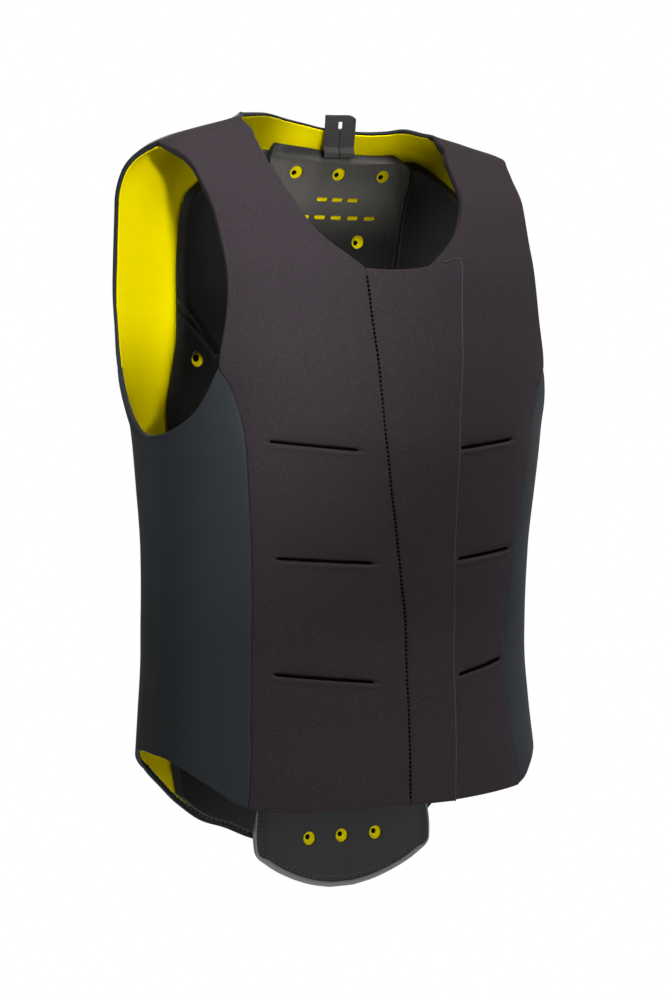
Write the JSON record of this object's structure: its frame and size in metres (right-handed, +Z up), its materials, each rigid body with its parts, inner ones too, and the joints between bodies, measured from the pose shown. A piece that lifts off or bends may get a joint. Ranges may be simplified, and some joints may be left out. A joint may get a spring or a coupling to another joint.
{
  "type": "padded sleeveless protection vest",
  "caption": "Padded sleeveless sport vest with lapped front closure, cut-out armholes, yellow lining and a vented foam back protector ending in a rounded tail.",
  "frame": {"origin": "midway between the shoulder straps, level with their top, where the vest hangs on the shoulders", "axes": "+Z up along the body, -Y out of the chest, +X towards the wearer's left"},
  "size_m": [0.3442, 0.2206, 0.6534],
  "materials": {
    "front_cloth": "fine heathered softshell bonded to foam, matte",
    "side_cloth": "smooth stretch cloth, matte with a slight sheen",
    "lining": "smooth knitted lining, matte",
    "foam": "skinned foam, satin",
    "webbing": "ribbed elastic webbing, matte"
  },
  "bodies": {
    "root": {"front_right_panel": "front_cloth", "front_left_panel": "front_cloth", "closure_flap": "front_cloth", "side_right_panel": "side_cloth", "side_left_panel": "side_cloth", "back_panel": "side_cloth", "side_right_lining": "lining", "side_left_lining": "lining", "back_lining": "lining", "back_protector": "foam", "protector_right_wing": "foam", "protector_left_wing": "foam", "tail_pad": "foam", "hanger_loop": "webbing"}
  },
  "joints": []
}
